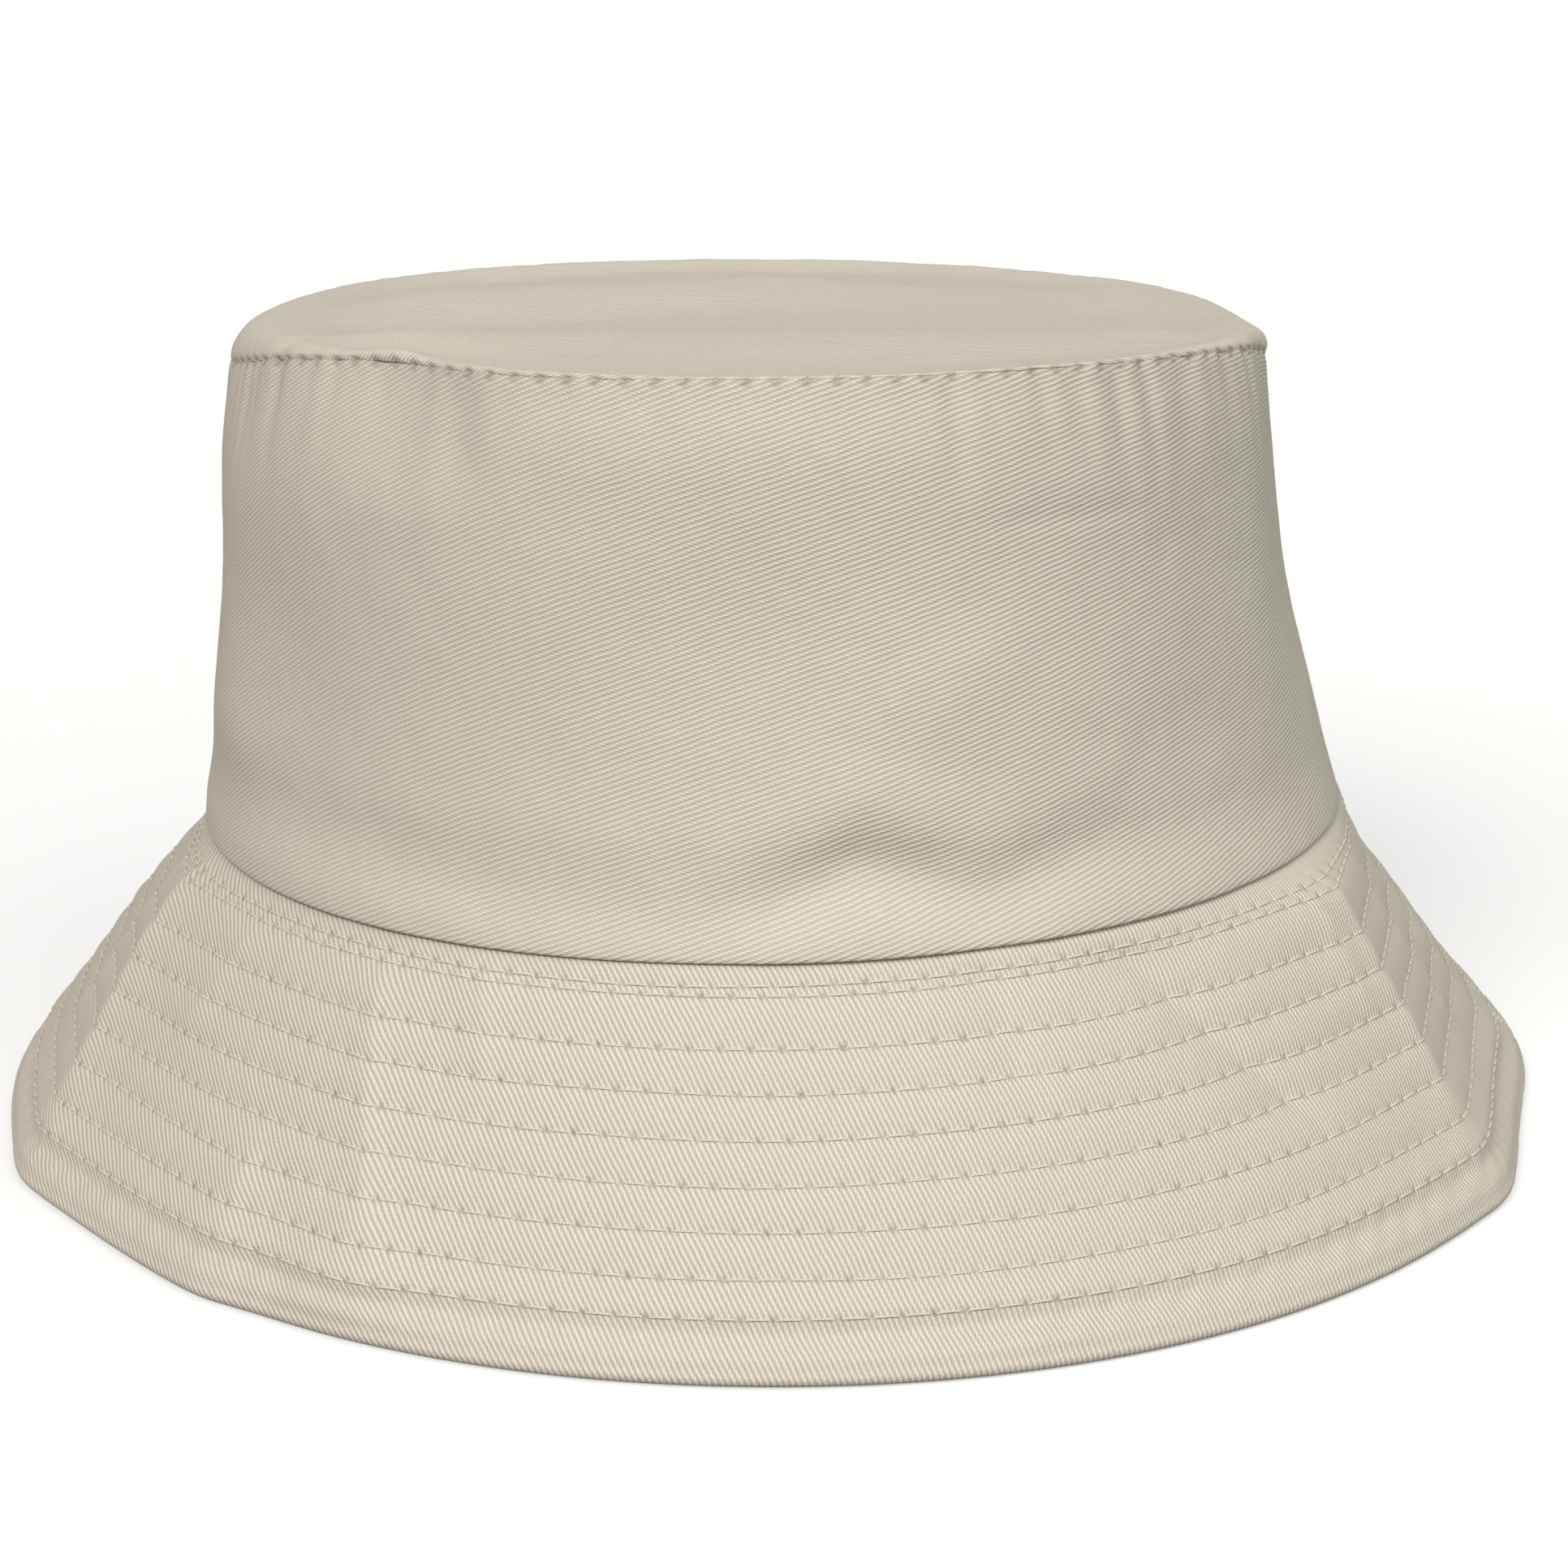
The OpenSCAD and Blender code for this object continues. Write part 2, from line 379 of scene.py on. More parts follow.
def tip_seam_height(turn):
    """Height of the tip's seam, which hangs down at both sides."""
    here = np.degrees(wrapped(turn))
    left = LEFT_DROOP * bell(here + 90, 30)
    right = RIGHT_DROOP * bell(here - 90, 20) + 3.6 * bell(here - 122, 44)
    behind = 1.0 * np.clip(-np.cos(turn), 0, 1)
    return TOP_Z - left - right - behind + 0.25 * noise(31, 24, turn, 0.3)


def crown_bend(turn, z):
    """Outward offset of all the crown's layers."""
    here = np.degrees(wrapped(turn))
    t = z - SEAM_Z
    bend = 1.7 * bell(here + 92, 30) * bell(z - 99, 16) + 1.1 * bell(here + 92, 26) * bell(z - 63, 14)
    bend = bend - 2.8 * bell(here - 92, 26) * bell(z - 88, 26)
    bend = bend + 1.7 * bell(here + 66, 10) * smooth(t, 4, 20) * (1 - smooth(t, 45, 70))
    for at, height, half_w, half_h, depth in DENTS:
        away = (here - at + 180) % 360 - 180
        bend = bend - depth * bell(away, half_w) * bell(t - height, half_h)
    fold = 0.70 * bell(here + 12, 38) + 0.65 * bell(here - 14, 16)
    away = t - rounded_line(FOLD, here, (-3, -1, 1, 3))
    bend = bend + fold * (-1.05 * bell(away, 5.0) + 0.80 * bell(away - 8.5, 7.0))
    bend = bend + 0.6 * noise(32, 13, turn, t / 26) * np.sin(math.pi * np.clip(t / CROWN_H, 0, 1))
    pressed = 1.5 * bell(here, 75) * smooth(t, 1, 13) * (1 - smooth(t, 30, 75))
    rolled = 1.1 * np.cos(turn) ** 2 * bell(tip_seam_height(turn) - z, 6.0)
    flare = 0.8 * bell(t, 6.0) * (1 - 0.6 * bell(here - 85, 20))
    return bend + flare - pressed - rolled


def crown_width(z):
    return BASE_U - (BASE_U - TOP_U) * (z - SEAM_Z) / CROWN_H


def crown_point(turn, share, n):
    """Point of the crown's wall: share of the way from the brim seam to the tip's seam."""
    low, high = seam_height(turn), tip_seam_height(turn)
    z = low + (high - low) * share
    x, y = outline(turn, crown_width(z) + crown_bend(turn, z) + n)
    return np.stack(np.broadcast_arrays(x - LEAN * (z - SEAM_Z) / CROWN_H, y, z), -1)


def seam_pits(turn, away):
    """1 in the small pits along the tip's seam, where a stitch pulls it, 0 away from them. It dents the
    cloth and paints shade into the pits.
    """
    deep = 0.8 + 0.2 * noise(59, 121, turn, 0.5)
    return deep * bell(np.hypot(0.7 * from_hole(turn, TOP_U) + 0.5 * away, away - 0.3), 0.46)


def gathers(turn, below):
    """Puckers under the tip's seam, strongest towards the sides."""
    here = np.degrees(np.abs(wrapped(turn)))
    along = arc(turn, TOP_U)
    wave = np.sin(2 * np.pi * (along / 7.3 + 1.1 * noise(33, 29, turn, 0.2)))
    fine = np.sin(2 * np.pi * (along / 4.4 + 0.8 * noise(34, 37, turn, 0.7)))
    strong = 0.25 + 0.9 * bell(here - 62, 20) + 0.9 * bell(here - 120, 26)
    return strong * (0.20 * wave + 0.10 * fine) * np.exp(-np.maximum(below, 0) / 7.5)


def crown_relief(turn, share):
    """Height of the crown's cloth over its plain section: gathers, fine unevenness and seams."""
    height = tip_seam_height(turn) - seam_height(turn)
    below = (1 - share) * height
    relief = gathers(turn, below)
    relief = relief + 0.07 * noise(35, 90, turn, below / 6) + 0.03 * noise(36, 220, turn, below / 2.4)
    relief = relief - 0.14 * bell(below, 0.5) - 0.4 * seam_pits(turn, below)
    return relief + side_valley(turn, 0.45, 0.8, BASE_U)


# The two folds across the tip, by x and y.
FRONT_FOLD = [
    (-76, -30), (-60, -43), (-44, -49), (-28, -46), (-11, -46), (5, -49), (21, -45), (37, -41),
    (53, -37), (67, -32),
]
BACK_FOLD = [(-62, 0), (-44, 6), (-28, 9), (-12, 18), (5, 27), (22, 34)]
FOLD_ROUNDING = (-6, -2, 2, 6)
TIP_HALF_X, TIP_HALF_Y = 76, 84  # half the width and length of the part that puffs up
TIP_FALL = 0.016  # the tip slopes down to the right by this share


def tip_puff(x, y):
    """Height of the tip's cloth over its flat plane: it is puffed up, with folds across it."""
    inside = np.clip(1 - (x / TIP_HALF_X) ** 2 - (y / TIP_HALF_Y) ** 2, 0, 1)
    rise = 0.7 * inside ** 0.6
    away = y - rounded_line(FRONT_FOLD, x, FOLD_ROUNDING)
    held = smooth(x, -76, -58) * (1 - smooth(x, 56, 70)) * (0.88 + 0.12 * np.sin(x / 9))
    rise = rise + held * (1.6 * smooth(away, -28, 0) - 2.5 * (1 - np.exp(-np.maximum(away, 0) / 7)))
    behind = y - rounded_line(BACK_FOLD, x, FOLD_ROUNDING)
    held = smooth(x, -70, -48) * (1 - 0.75 * smooth(x, -2, 34))
    rise = rise + held * (2.6 * smooth(behind, -36, 0) - 3.6 * (1 - np.exp(-np.maximum(behind, 0) / 16)))
    return rise * smooth(inside, 0.0, 0.12) - TIP_FALL * np.maximum(x, 0)


def tip_shoulder(turn):
    """Width, height and length over the curve of the tip's rounded edge."""
    high = TOP_Z - tip_seam_height(turn) + 0.4
    wide = 1.15 * high + 0.3
    return wide, high, math.pi / 2 * np.sqrt((wide ** 2 + high ** 2) / 2)


def tip_point(turn, q, n, inset=0.0):
    """Point of the tip: q of the way from its middle to its seam along the cloth, n out of it."""
    seam_z = tip_seam_height(turn)
    radius = crown_width(seam_z) + crown_bend(turn, seam_z) - inset
    wide, high, length = tip_shoulder(turn)
    from_seam = (1 - q) * TOP_U
    over = np.clip(from_seam / length, 0, 1) * math.pi / 2
    beyond = np.maximum(from_seam - length, 0) / (TOP_U - length)
    inward = wide * (1 - np.cos(over)) + beyond * (radius - wide)
    x, y = outline(turn, 1.0)
    x, y = x * (radius - inward), -(radius + EXTRA) * (1 - inward / radius) * np.cos(turn)
    x, y = x + n * np.cos(over) * np.sin(turn), y - n * np.cos(over) * np.cos(turn)
    flat = smooth(from_seam, 0.6 * length, length + 10)
    z = seam_z + high * np.sin(over) + tip_puff(x, y) * flat + n * np.sin(over)
    return np.stack(np.broadcast_arrays(x - LEAN * (z - SEAM_Z) / CROWN_H, y, z), -1)


def tip_relief(turn, q):
    """Height of the tip's cloth: fine unevenness, and a low line with pits along the seam."""
    from_seam = (1 - q) * TOP_U
    x, y = outline(turn, TOP_U)
    relief = 0.10 * flat_noise(37, 9.0, x * q, y * q) + 0.05 * flat_noise(38, 3.2, x * q, y * q)
    here = np.degrees(wrapped(turn))
    lens = 0.8 * bell(here + 41, 4.5) * bell(from_seam - 1.5, 1.5)
    bunched = 0.9 * bell(here - 84, 12) * bell(from_seam - 2.6, 2.6) * np.cos(np.radians(here * 27)) ** 2
    gather = 0.35 * gathers(turn, from_seam * 1.6)
    return relief + lens + bunched + gather - 0.12 * bell(from_seam, 0.5) - 0.4 * seam_pits(turn, from_seam)


# ---- mesh making

def new_piece(name, points, faces, marks, sharp=50):
    """A mesh piece from points in millimetres. marks are per-point attributes for the material."""
    mesh = bpy.data.meshes.new(name)
    mesh.from_pydata((np.asarray(points, float).reshape(-1, 3) * MM).tolist(), [], faces)
    for key, values in marks.items():
        vector = np.ndim(values) > 1
        made = mesh.attributes.new(key, "FLOAT_VECTOR" if vector else "FLOAT", "POINT")
        made.data.foreach_set("vector" if vector else "value", np.asarray(values, np.float32).ravel())
    mesh.polygons.foreach_set("use_smooth", np.ones(len(mesh.polygons), bool))
    mesh.set_sharp_from_angle(angle=math.radians(sharp))
    mesh.validate()
    mesh.update()
    piece = bpy.data.objects.new(name, mesh)
    bpy.context.scene.collection.objects.link(piece)
    return piece


def finish_piece(piece, material, node, body="hat"):
    """Gives a piece its material, parents it to its body's empty, and lets it stand for its CAD node."""
    piece.data.materials.append(material)
    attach(piece, body)
    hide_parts(node)


def grid_faces(rows, columns, wrap_rows, wrap_columns):
    """Quads of a grid of rows by columns, outward for a section that runs over the top first."""
    i, j = np.meshgrid(np.arange(rows if wrap_rows else rows - 1),
                       np.arange(columns if wrap_columns else columns - 1), indexing="ij")
    i2, j2 = (i + 1) % rows, (j + 1) % columns
    quads = np.stack([i * columns + j, i * columns + j2, i2 * columns + j2, i2 * columns + j], -1)
    return quads.reshape(-1, 4).tolist()


def tube_faces(rows, columns, closed=False):
    """Faces of a tube with so many rings of points. Its ends are shut if it doesn't close on itself."""
    faces = grid_faces(rows, columns, closed, True)
    if not closed:
        faces.append(list(range(columns)))
        faces.append([(rows - 1) * columns + k for k in reversed(range(columns))])
    return faces


def sheet_points(turns, section, place, pattern):
    """Points of a section swept through turns, and the two attributes that their material reads.
    section is a list of (s, n) pairs, place gives points and pattern the cloth's own coordinates."""
    s, n = np.array(section, float).T[:, None, :]
    turn = turns[:, None]
    # place also gives a mask where the colour is darkened: painted shade in needle holes and seam pits.
    points, painted_hole_shade = place(turn, s, n)
    painted_hole_shade = np.broadcast_to(painted_hole_shade, points.shape[:2]).ravel()
    return points.reshape(-1, 3), pattern(turn, s).reshape(-1, 3), painted_hole_shade


def swept_sheet(name, turns, section, place, pattern, closed=False):
    """A closed sheet, whose section is a loop. An open sweep gets a face over each end."""
    points, cloth, painted_hole_shade = sheet_points(turns, section, place, pattern)
    faces = tube_faces(len(turns), len(section), closed)
    return new_piece(name, points, faces, {"cloth": cloth, "painted_hole_shade": painted_hole_shade})


def disc_sheet(name, turns, section, place):
    """A closed disc. section runs from the middle over the top, round the edge and back below."""
    points, cloth, painted_hole_shade = sheet_points(turns, section, place, disc_pattern)
    rows, columns = len(turns), len(section)
    top, bottom = points[::columns].mean(0), points[columns - 1::columns].mean(0)
    middle = cloth[::columns].mean(0)
    faces = grid_faces(rows, columns, True, False)
    first, last = rows * columns, rows * columns + 1
    for i in range(rows):
        after = (i + 1) % rows
        faces.append([first, i * columns, after * columns])
        faces.append([last, after * columns + columns - 1, i * columns + columns - 1])
    marks = {"cloth": np.vstack([cloth, middle, middle]), "painted_hole_shade": np.append(painted_hole_shade, [0, 0])}
    return new_piece(name, np.vstack([points, top, bottom]), faces, marks)


# A stitch's places along its pitch, and its heights over the cloth there.
STITCH_AT = np.array([0.05, 0.13, 0.27, 0.5, 0.73, 0.87, 0.95])
STITCH_UP = np.array([-0.42, -0.02, 0.10, 0.14, 0.10, -0.02, -0.42])
TUBE_SIDES = 6


def stitches(number, place, radius=STITCH_R):
    """Points and faces of single stitches. place(position, height) gives points on the sewn
    surface, with the position counted in stitches."""
    at = np.arange(number)[:, None] + STITCH_AT
    lift = np.broadcast_to(STITCH_UP, at.shape)
    middle = place(at, lift)
    ahead = place(at + 0.02, lift) - place(at - 0.02, lift)
    outward = place(at, lift + 0.1) - middle
    ahead /= np.linalg.norm(ahead, axis=-1, keepdims=True)
    outward /= np.linalg.norm(outward, axis=-1, keepdims=True)
    across = np.cross(ahead, outward)
    ring = np.linspace(0, 2 * np.pi, TUBE_SIDES, endpoint=False)
    tube = (middle[:, :, None] + radius * (np.cos(ring)[:, None] * across[:, :, None]
                                           + np.sin(ring)[:, None] * outward[:, :, None]))
    count, steps = at.shape
    one = tube_faces(steps, TUBE_SIDES)
    faces = [[v + i * steps * TUBE_SIDES for v in face] for i in range(count) for face in one]
    length = np.repeat(np.broadcast_to(at * STITCH, at.shape)[:, :, None], TUBE_SIDES, 2)
    round_it = np.broadcast_to(ring * radius, length.shape)
    marks = np.stack([length, round_it, 0 * length], -1).reshape(-1, 3)
    return tube.reshape(-1, 3), faces, marks


def stitched_piece(node, parts, material):
    """Joins the stitches of several threads into the piece that stands for a CAD node."""
    points, faces, marks = zip(*parts)
    starts = np.cumsum([0] + [len(part) for part in points]).tolist()
    faces = [[v + start for v in face] for start, part in zip(starts, faces) for face in part]
    piece = new_piece(f"{node}_stitches", np.vstack(points), faces, {"cloth": np.vstack(marks)}, sharp=80)
    finish_piece(piece, material, node)


# ---- materials

class Nodes:
    """A short way to write a material's nodes."""

    def __init__(self, name):
        self.material = bpy.data.materials.new(name)
        self.material.use_nodes = True
        self.tree = self.material.node_tree
        self.shader = self.tree.nodes["Principled BSDF"]

    def link(self, value, socket):
        if isinstance(value, bpy.types.NodeSocket):
            self.tree.links.new(value, socket)
        else:
            socket.default_value = value

    def node(self, kind, inputs, output=0, **settings):
        """An output of a new node. inputs are pairs of a socket and its value."""
        node = self.tree.nodes.new(f"ShaderNode{kind}")
        for key, value in settings.items():
            setattr(node, key, value)
        for socket, value in inputs:
            self.link(value, node.inputs[socket])
        return node.outputs[output]

    def math(self, operation, *values, clamp=False):
        return self.node("Math", enumerate(values), operation=operation, use_clamp=clamp)

    def times(self, a, b, plus=0.0, clamp=False):
        return self.math("MULTIPLY_ADD", a, b, plus, clamp=clamp)

    def attribute(self, name, output):
        return self.node("Attribute", (), output, attribute_name=name)

    def turned(self, vector, degrees):
        """The vector's x and y, turned about Z."""
        inputs = (("Vector", vector), ("Angle", math.radians(degrees)))
        turned = self.node("VectorRotate", inputs, rotation_type="Z_AXIS")
        return [self.node("SeparateXYZ", ((0, turned),), axis) for axis in (0, 1)]

    def noise(self, vector, scale, detail=2.0, rough=0.5):
        inputs = (("Vector", vector), ("Scale", scale), ("Detail", detail), ("Roughness", rough))
        return self.node("TexNoise", inputs)

    def wave(self, value, pitch):
        """A cosine from 0 to 1 that repeats every pitch."""
        cosine = self.math("COSINE", self.times(value, 2 * math.pi / pitch))
        return self.times(cosine, 0.5, plus=0.5)

    def mix(self, share, a, b):
        return self.node("Mix", ((0, share), (6, a), (7, b)), 2, data_type="RGBA")

    def bump(self, height, distance):
        normal = self.node("Bump", (("Distance", distance * MM), ("Height", height)))
        self.link(normal, self.shader.inputs["Normal"])

    def finish(self, colour, roughness, sheen=0.0, sheen_roughness=0.5):
        self.link(colour, self.shader.inputs["Base Color"])
        self.shader.inputs["Roughness"].default_value = roughness
        self.shader.inputs["Sheen Weight"].default_value = sheen
        self.shader.inputs["Sheen Roughness"].default_value = sheen_roughness
        self.shader.inputs["Specular IOR Level"].default_value = 0.25
        return self.material


def linear(red, green, blue):
    """A colour of the standard screen scale, 0 to 255, as a linear one."""
    made = []
    for value in (red, green, blue):
        value /= 255
        made.append(value / 12.92 if value <= 0.04045 else ((value + 0.055) / 1.055) ** 2.4)
    return (*made, 1.0)


WALE = linear(216, 209, 196)
GROOVE = linear(158, 150, 137)
# Painted shade: the dark colour of the needle holes and of the pits along the tip's seam, where shadow falls
# into them.
HOLE_SHADE = linear(98, 89, 74)


def twill_material(name, wale_angle, pitch, relief=0.10, contrast=1.0, painted_light=1.0):
    """Cotton twill: slanting ridges made of short floats, like a rope, with soft mottling. The last argument
    scales all its colours: painted light or shade on one panel of the same cloth.
    """
    m = Nodes(name)
    # Painted light: both colours scaled lighter or darker for one panel.
    groove, wale = (tuple(painted_light * part for part in colour[:3]) + (1.0,) for colour in (GROOVE, WALE))
    cloth = m.attribute("cloth", "Vector")
    painted_hole_shade = m.attribute("painted_hole_shade", "Fac")
    along, across = m.turned(cloth, -wale_angle)
    wobble = m.noise(cloth, 0.22, 3.0)
    across = m.times(wobble, 0.55 * pitch, plus=across)
    ridge = m.wave(across, pitch)
    twist = m.times(across, 0.77, plus=m.times(along, 0.64))
    floats = m.wave(twist, 0.62 * pitch)
    height = m.times(ridge, m.times(floats, 0.5, plus=0.5))
    fibres = m.noise(cloth, 2.6, 3.0, 0.7)
    height = m.times(fibres, 0.42, plus=height)
    share = m.times(height, 1.2 * contrast, plus=0.5 - 0.6 * contrast, clamp=True)
    colour = m.mix(share, groove, wale)
    cloudy = m.noise(cloth, 0.035, 2.0)
    colour = m.mix(m.times(cloudy, 0.16), colour, linear(190, 178, 158))
    slubs = m.math("GREATER_THAN", m.noise(cloth, 0.6, 1.0), 0.72)
    colour = m.mix(m.times(slubs, 0.12), colour, linear(226, 217, 199))
    # Painted shade in the needle holes and seam pits.
    colour = m.mix(m.times(painted_hole_shade, 0.85, clamp=True), colour, HOLE_SHADE)
    m.bump(height, relief)
    return m.finish(colour, 0.92, sheen=0.06, sheen_roughness=0.6)


def plain_weave_material(name, light, dark, pitch):
    """A plain weave: threads over and under each other both ways."""
    m = Nodes(name)
    cloth = m.attribute("cloth", "Vector")
    x, y = m.turned(cloth, 0)
    jitter = m.noise(cloth, 0.5, 2.0)
    x = m.times(jitter, pitch, plus=x)
    warp, weft = m.wave(x, pitch), m.wave(y, pitch)
    checks = m.times(*(m.math("SINE", m.times(axis, math.pi / pitch)) for axis in (x, y)))
    over = m.math("GREATER_THAN", checks, 0.0)
    height = m.times(warp, over, plus=m.times(weft, m.math("SUBTRACT", 1.0, over)))
    height = m.times(m.noise(cloth, 2.2, 3.0, 0.7), 0.4, plus=height)
    colour = m.mix(m.times(height, 0.75, clamp=True), dark, light)
    colour = m.mix(m.times(m.noise(cloth, 0.04, 2.0), 0.14), colour, dark)
    # Painted shade in needle holes, as on the twill; the lining has none.
    colour = m.mix(m.times(m.attribute("painted_hole_shade", "Fac"), 0.8, clamp=True), colour, HOLE_SHADE)
    m.bump(height, 0.07)
    return m.finish(colour, 0.9, sheen=0.08)


def thread_material():
    """Sewing thread: three plies twisted together."""
    m = Nodes("sewing_thread_beige")
    cloth = m.attribute("cloth", "Vector")
    x, y = m.turned(cloth, 0)
    plies = m.wave(m.times(y, 0.9, plus=x), 0.42)
    plies = m.times(m.noise(cloth, 3.0, 2.0), 0.4, plus=plies)
    colour = m.mix(m.times(plies, 0.8, clamp=True), linear(186, 177, 158), linear(216, 209, 195))
    m.bump(plies, 0.05)
    return m.finish(colour, 0.75, sheen=0.1)


def felt_material():
    """Interlining: a bonded felt of crossing fibres, seen only where the brim is cut open."""
    m = Nodes("interlining_felt")
    cloth = m.attribute("cloth", "Vector")
    fibres = m.noise(cloth, 1.4, 5.0, 0.8)
    colour = m.mix(fibres, linear(206, 203, 194), linear(236, 234, 228))
    m.bump(fibres, 0.12)
    return m.finish(colour, 0.95, sheen=0.1)


def satin_material():
    """Label ribbon: fine weft floats with a soft shine."""
    m = Nodes("label_satin_white")
    cloth = m.attribute("cloth", "Vector")
    x, y = m.turned(cloth, 0)
    floats = m.times(m.wave(y, 0.26), m.wave(m.times(y, 2.5, plus=x), 1.3))
    colour = m.mix(floats, linear(222, 222, 217), linear(242, 242, 238))
    colour = m.mix(m.times(m.noise(cloth, 0.12, 2.0), 0.12), colour, linear(205, 204, 196))
    m.bump(floats, 0.03)
    return m.finish(colour, 0.42, sheen=0.05)


# ---- patterns the panels are cut to

def cone_pattern(turn, down, centre, u, radius):
    """Flat pattern of a sloping panel. radius is its distance from the cone's point at down 0."""
    phi = arc(wrapped(turn - centre), u) / radius
    reach = radius + down
    return np.stack(np.broadcast_arrays(reach * np.sin(phi), radius - reach * np.cos(phi), 0 * phi), -1)


BRIM_MEAN_U = SEAM_U + EXTRA / 2
BRIM_RADIUS = BRIM_MEAN_U / COS
CROWN_RADIUS = (BASE_U + EXTRA / 2) / math.sin(math.atan2(BASE_U - TOP_U, CROWN_H))


def brim_pattern(centre):
    return lambda turn, s: cone_pattern(turn, s, centre, SEAM_U, BRIM_RADIUS)


def crown_pattern(centre):
    return lambda turn, share: cone_pattern(turn, -CROWN_H * share, centre, BASE_U, CROWN_RADIUS)


def disc_pattern(turn, q):
    x, y = outline(turn, TOP_U)
    return np.stack(np.broadcast_arrays(x * q, y * q, 0 * x * q), -1)


def cut_size(pattern, turns, low, high):
    """Width, length and area in metres of the flat pattern between two distances down it."""
    sides = [pattern(turns, np.full_like(turns, low)), pattern(turns[::-1], np.full_like(turns, high))]
    x, y = np.concatenate(sides)[:, :2].T
    area = abs(np.dot(x, np.roll(y, -1)) - np.dot(y, np.roll(x, -1))) / 2
    return ((x.max() - x.min()) * MM, (y.max() - y.min()) * MM), area * MM * MM


SEAM_CLEAR = 0.0009  # half the gap between two panels at a side seam, in radians
HALVES = {"front": 0.0, "back": math.pi}


def half_turns(centre, u, step):
    return even_turns(centre - math.pi / 2 + SEAM_CLEAR, centre + math.pi / 2 - SEAM_CLEAR, u, step)


def half_panel(part, half, u, step, section, place, pattern_at, cut, material):
    """One half of a ring of cloth, its points step apart along the oval of half width u. cut is
    where its flat panel starts and ends, allowances included."""
    centre = HALVES[half]
    turns, pattern = half_turns(centre, u, step), pattern_at(centre)
    piece = swept_sheet(f"{part}_{half}_cloth", turns, section, place, pattern)
    finish_piece(piece, material, f"{part}_{half}")
    flat, area = cut_size(pattern, turns, *cut)


def round_panel(node, step, section, place, material):
    """An oval panel, sewn round its edge."""
    turns = even_turns(-math.pi, math.pi, TOP_U, step)[:-1]
    piece = disc_sheet(f"{node}_cloth", turns, section, place)
    finish_piece(piece, material, node)


# ---- the brim

TURNED_UNDER = 4.0  # cloth of the upper panel that is turned under at the edge


def brim_top(half, material):
    """The brim's upper cloth, rolled round the edge and turned under there."""
    r = BRIM_T / 2
    top = [(s, 0) for s in np.linspace(0, EDGE_S, 124)]
    roll = [(EDGE_S + r * math.sin(t), -r + r * math.cos(t)) for t in np.radians(np.arange(15, 180, 15))]
    end_s, fold_s = EDGE_S - EDGE_R, EDGE_S - 0.3
    wrap = [(EDGE_S, -BRIM_T), (end_s, -BRIM_T), (end_s, TWILL_T - BRIM_T), (fold_s, TWILL_T - BRIM_T),
            (fold_s, -TWILL_T)]
    back = [(s, -TWILL_T) for s in np.linspace(EDGE_S - 1, 0, 24)]

    def place(turn, s, n):
        upper = (n > -0.5) * 1.0
        inner = (n <= -0.5) * (n > -TWILL_T - 0.01) * (s < EDGE_S - 0.5) * 1.0
        holes = needle_holes(turn, s) * upper
        height = n + brim_top_relief(turn, s) * (upper + inner * 0.8) - 0.2 * holes
        return brim_point(turn, s, height), holes

    half_panel("brim_top", half, brim_u(BRIM_MIDDLE), 0.62, top + roll + wrap + back, place, brim_pattern,
               (-ALLOWANCE, EDGE_S + TURNED_UNDER), material)


def brim_under(half, material):
    """The brim's lower cloth, which ends just inside the turned edge."""
    low = EDGE_S - EDGE_R - 0.15
    outer = [(s, -BRIM_T) for s in np.linspace(low, 0, 70)]
    inner = [(s, TWILL_T - BRIM_T) for s in np.linspace(0, low, 20)]

    def place(turn, s, n):
        outside = (n < -BRIM_T + 0.1) * 1.0
        holes = needle_holes(turn, s) * outside
        height = n - brim_under_relief(turn, s) * (outside + (1 - outside) * 0.8) + 0.15 * holes
        return brim_point(turn, s, height), holes * 0.8

    half_panel("brim_under", half, brim_u(BRIM_MIDDLE), 0.95, outer + inner, place, brim_pattern,
               (-ALLOWANCE, low + 1.0), material)


def brim_interlining(material):
    """The stiff layer between the brim's two cloths. It was cut as two halves."""
    high, low = -TWILL_T - PLY_GAP, -TWILL_T - PLY_GAP - FELT_T
    end = EDGE_S - 2 * EDGE_R
    over = [(s, high) for s in np.linspace(1, end, 30)]
    under = [(s, low) for s in np.linspace(end, 1, 30)]

    def place(turn, s, n):
        return brim_point(turn, s, n + 0.03 * noise(15, 200, turn, s / 2)), 0 * s * turn

    turns = even_turns(-math.pi, math.pi, brim_u(BRIM_MIDDLE), 1.4)[:-1]
    pattern = brim_pattern(0.0)
    piece = swept_sheet("brim_interlining", turns, over + under, place, pattern, closed=True)
    finish_piece(piece, material, "brim_stiffener")
    (width, height), _ = cut_size(pattern, half_turns(0.0, SEAM_U, 5), 1.0, end)


def brim_row(node, s, number, material):
    """A row of stitches round the brim, with its bobbin thread below."""
    u = brim_u(s)

    def sewn_at(at):
        turn = ring_turn(at, u, ROW_SHIFT * number)
        return turn, row_line(turn, s, number)

    def upper(at, lift):
        turn, line = sewn_at(at)
        return brim_point(turn, line, brim_top_relief(turn, line) + lift)

    def lower(at, lift):
        turn, line = sewn_at(at)
        return brim_point(turn, line, -BRIM_T - brim_under_relief(turn, line) - lift)

    stitched_piece(node, [stitches(ring_count(u), place) for place in (upper, lower)], material)


# ---- the crown

